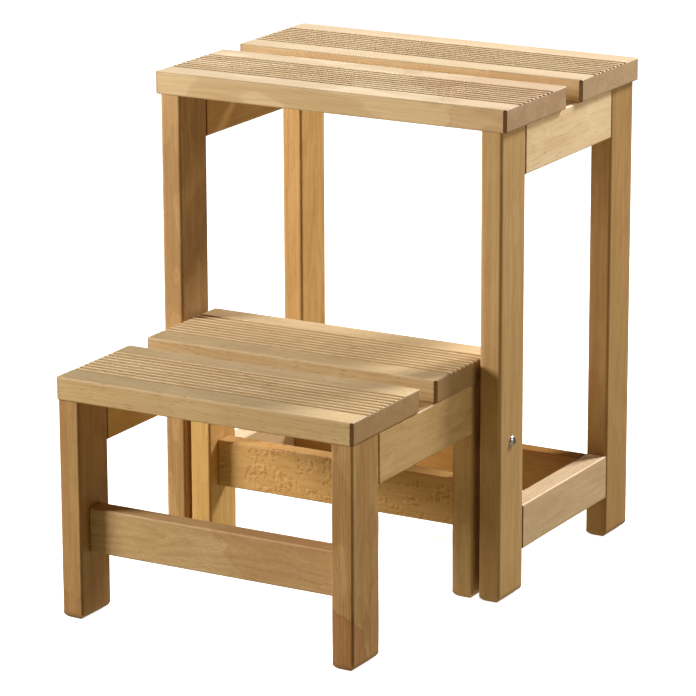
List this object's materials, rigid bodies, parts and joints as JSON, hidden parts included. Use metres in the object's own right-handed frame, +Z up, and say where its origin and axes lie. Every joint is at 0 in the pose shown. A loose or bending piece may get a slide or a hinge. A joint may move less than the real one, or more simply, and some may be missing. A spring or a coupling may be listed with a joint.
{
  "type": "folding step stool",
  "caption": "Wooden step stool with grooved treads; the lower step unit hinges on side bolts and folds up into the taller frame.",
  "frame": {"origin": "on the floor, at the middle of the unfolded stool's footprint, straight below the pivot axis", "axes": "+X to the right along the treads and the pivot axis, -Y to the front where the step unit stands, +Z up"},
  "size_m": [0.373, 0.504, 0.472],
  "materials": {
    "tread_beech": "clear satin lacquer",
    "leg_beech": "clear satin lacquer",
    "rail_beech": "clear satin lacquer",
    "dowel_wood": "raw",
    "steel": "zinc plated",
    "nylon": "matte"
  },
  "bodies": {
    "tall_stool": {"front_top_tread": "tread_beech", "rear_top_tread": "tread_beech", "tall_front_left_leg": "leg_beech", "tall_front_right_leg": "leg_beech", "tall_rear_left_leg": "leg_beech", "tall_rear_right_leg": "leg_beech", "tall_left_top_rail": "rail_beech", "tall_right_top_rail": "rail_beech", "tall_left_side_rail": "rail_beech", "tall_right_side_rail": "rail_beech", "tall_rear_rail": "rail_beech", "left_pivot_bolt": "steel", "right_pivot_bolt": "steel", "left_pivot_spacer": "nylon", "right_pivot_spacer": "nylon", "pivot_washers": "steel", "left_lock_nut": "steel", "right_lock_nut": "steel", "tall_rail_dowels": "dowel_wood", "tall_rear_rail_dowels": "dowel_wood", "tall_tread_dowels": "dowel_wood"},
    "step_unit": {"front_step_tread": "tread_beech", "rear_step_tread": "tread_beech", "step_front_left_leg": "leg_beech", "step_front_right_leg": "leg_beech", "step_rear_left_leg": "leg_beech", "step_rear_right_leg": "leg_beech", "step_left_top_rail": "rail_beech", "step_right_top_rail": "rail_beech", "step_front_rail": "rail_beech", "step_rear_rail": "rail_beech", "step_top_rail_dowels": "dowel_wood", "step_cross_rail_dowels": "dowel_wood", "step_tread_dowels": "dowel_wood"}
  },
  "joints": [
    {"name": "step_fold", "type": "hinge", "parent": "tall_stool", "child": "step_unit", "pos_m": [0, 0, 0.154], "axis": [-1, 0, 0], "range_deg": [0, 176.8]}
  ]
}
